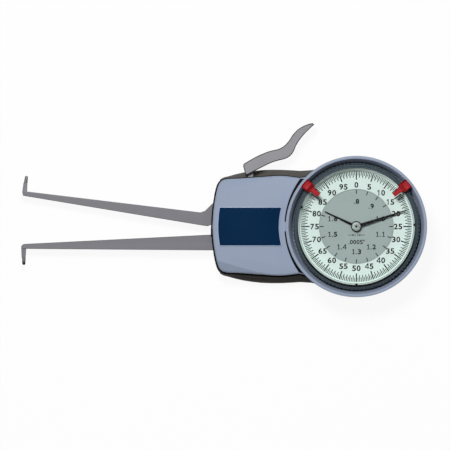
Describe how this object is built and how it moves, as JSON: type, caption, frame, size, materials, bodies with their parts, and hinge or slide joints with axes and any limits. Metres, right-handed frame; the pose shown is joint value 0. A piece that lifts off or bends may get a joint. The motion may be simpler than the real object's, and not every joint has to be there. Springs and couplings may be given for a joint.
{
  "type": "dial caliper gauge",
  "caption": "Dial caliper gauge for bores and grooves: a housing with a round dial, one fixed and one lever-driven arm with outward contact fingers.",
  "frame": {"origin": "on the flat rear face of the housing, under the axis of the dial", "axes": "+X from the contacts towards the dial, +Y towards the hand lever's side, +Z out of the dial"},
  "size_m": [0.1873, 0.0804, 0.0302],
  "materials": {
    "cover": "satin blue-grey paint",
    "grip": "matte black",
    "rubber": "black seal",
    "label": "satin navy",
    "steel": "turned steel",
    "blued": "blued spring steel",
    "brass": "stamped brass",
    "ruby": "red bearing stone",
    "arm": "satin chrome",
    "carbide": "ground carbide",
    "lever": "satin metal",
    "bezel": "black, ridged",
    "dial": "matt pale green-white",
    "disc": "matt pale grey",
    "glass": "clear",
    "pointer": "black",
    "marker": "red"
  },
  "bodies": {
    "housing": {"front_housing": "cover", "rear_housing": "grip", "housing_gasket": "rubber", "arm_seal": "rubber", "lever_seal": "rubber", "label_plate": "label", "housing_screw_1": "steel", "housing_screw_2": "steel", "housing_screw_3": "steel", "housing_screw_4": "steel", "frame_screw_1": "steel", "frame_screw_2": "steel", "frame_screw_3": "steel", "bridge_screw_1": "steel", "bridge_screw_2": "steel", "bridge_screw_3": "steel", "pillar_1": "steel", "pillar_2": "steel", "pillar_3": "steel", "arm_pivot_pin": "steel", "fixed_arm_screw_1": "steel", "fixed_arm_screw_2": "steel", "stop_pin_open": "steel", "stop_pin_closed": "steel", "spring_post": "steel", "return_spring": "steel", "lever_pivot_pin": "steel", "motion_stud": "steel", "hairspring": "blued", "frame_plate": "brass", "bridge_plate": "brass", "centre_bush": "ruby", "intermediate_bush": "ruby", "fixed_arm": "arm", "fixed_contact": "carbide", "dial_disc": "disc"},
    "movable_arm": {"movable_arm": "arm", "movable_contact": "carbide", "sector_gear": "brass", "sector_screw_1": "steel", "sector_screw_2": "steel"},
    "lever": {"lever": "lever"},
    "intermediate": {"intermediate_arbour": "steel", "intermediate_wheel": "brass"},
    "main_pointer": {"centre_arbour": "steel", "main_pointer": "pointer", "pointer_cap": "steel"},
    "motion_work": {"motion_wheel": "brass"},
    "small_pointer": {"hour_wheel": "brass", "small_pointer": "pointer"},
    "bezel": {"bezel": "bezel", "bezel_ring": "rubber", "crystal": "glass", "spacer_ring": "dial", "dial_ring": "dial"},
    "marker_left": {"marker_left": "marker"},
    "marker_right": {"marker_right": "marker"}
  },
  "joints": [
    {"name": "arm_swing", "type": "hinge", "parent": "housing", "child": "movable_arm", "pos_m": [-0.05185, 0.01084, 0.0088], "axis": [0, 0, 1], "range_deg": [0, 11.81], "stiffness_Nm_per_rad": 0.3, "springref_deg": -20.05, "deforming": ["return_spring"]},
    {"name": "lever_press", "type": "hinge", "parent": "housing", "child": "lever", "pos_m": [-0.0482, 0.0187, 0.009], "axis": [0, 0, 1], "range_deg": [-15.47, 0]},
    {"name": "intermediate_spin", "type": "hinge", "parent": "housing", "child": "intermediate", "pos_m": [-0.01231, 0.00861, 0.0117], "axis": [0, 0, 1], "range_deg": [-210.86, 0]},
    {"name": "main_pointer_spin", "type": "hinge", "parent": "housing", "child": "main_pointer", "pos_m": [0, 0, 0.0217], "axis": [0, 0, 1], "range_deg": [0, 2952]},
    {"name": "motion_wheel_spin", "type": "hinge", "parent": "housing", "child": "motion_work", "pos_m": [0.00511, -0.00358, 0.016], "axis": [0, 0, 1], "range_deg": [-984, 0]},
    {"name": "small_pointer_spin", "type": "hinge", "parent": "housing", "child": "small_pointer", "pos_m": [0, 0, 0.021], "axis": [0, 0, 1], "range_deg": [0, 295.2], "deforming": ["hairspring"]},
    {"name": "bezel_turn", "type": "hinge", "parent": "housing", "child": "bezel", "pos_m": [0, 0, 0.024], "axis": [0, 0, 1], "continuous": true},
    {"name": "marker_left_slide", "type": "hinge", "parent": "bezel", "child": "marker_left", "pos_m": [0, 0, 0.0287], "axis": [0, 0, 1], "range_deg": [-40, 118]},
    {"name": "marker_right_slide", "type": "hinge", "parent": "bezel", "child": "marker_right", "pos_m": [0, 0, 0.0287], "axis": [0, 0, 1], "range_deg": [-118, 40]}
  ],
  "couplings": [
    {"joint": "lever_press", "follows": "arm_swing", "ratio": -1.31},
    {"joint": "intermediate_spin", "follows": "arm_swing", "ratio": -17.857},
    {"joint": "main_pointer_spin", "follows": "arm_swing", "ratio": 250},
    {"joint": "motion_wheel_spin", "follows": "arm_swing", "ratio": -83.333},
    {"joint": "small_pointer_spin", "follows": "arm_swing", "ratio": 25}
  ]
}
